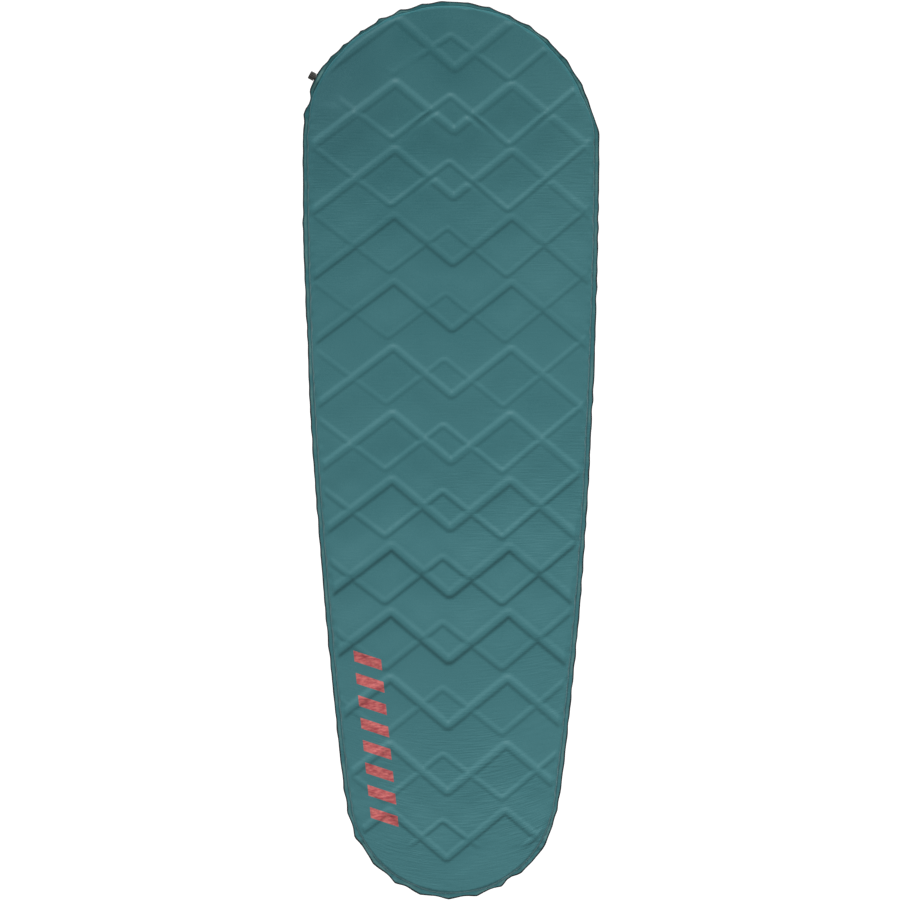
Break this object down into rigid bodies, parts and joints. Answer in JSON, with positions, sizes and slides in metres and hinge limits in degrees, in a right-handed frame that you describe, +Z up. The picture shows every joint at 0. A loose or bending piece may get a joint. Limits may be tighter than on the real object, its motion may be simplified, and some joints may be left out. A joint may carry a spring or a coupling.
{
  "type": "self-inflating sleeping pad",
  "caption": "Mummy-shaped self-inflating camping sleeping pad with a quilted fabric top, a welded edge all round and a twist-open air valve at the head.",
  "frame": {"origin": "on the ground, under the middle of the pad", "axes": "+Y towards the head, +Z up, +X to the right seen from above with the head away; the valve is on the -X side of the head"},
  "size_m": [0.605, 1.83, 0.038],
  "materials": {
    "top_fabric": "matte",
    "bottom_fabric": "matte",
    "foam": "matte",
    "valve_body_plastic": "satin",
    "valve_cap_plastic": "satin",
    "seal_rubber": "matte"
  },
  "bodies": {
    "pad": {"top_cover": "top_fabric", "bottom_cover": "bottom_fabric", "foam_core": "foam", "valve_stem": "valve_body_plastic", "valve_plug": "valve_body_plastic", "plug_o_ring": "seal_rubber"},
    "cap_seal": {"cap_o_ring": "seal_rubber"},
    "cap": {"valve_cap": "valve_cap_plastic"}
  },
  "joints": [
    {"name": "cap_lift", "type": "slide", "parent": "pad", "child": "cap_seal", "axis": [-0.8771, 0.4803, 0], "range_m": [0, 0.003]},
    {"name": "cap_turn", "type": "hinge", "parent": "cap_seal", "child": "cap", "pos_m": [-0.27571, 0.758, 0.019], "axis": [-0.8771, 0.4803, 0], "range_deg": [0, 270]}
  ],
  "couplings": [
    {"joint": "cap_turn", "follows": "cap_lift", "rad_per_m": 1570.8}
  ]
}
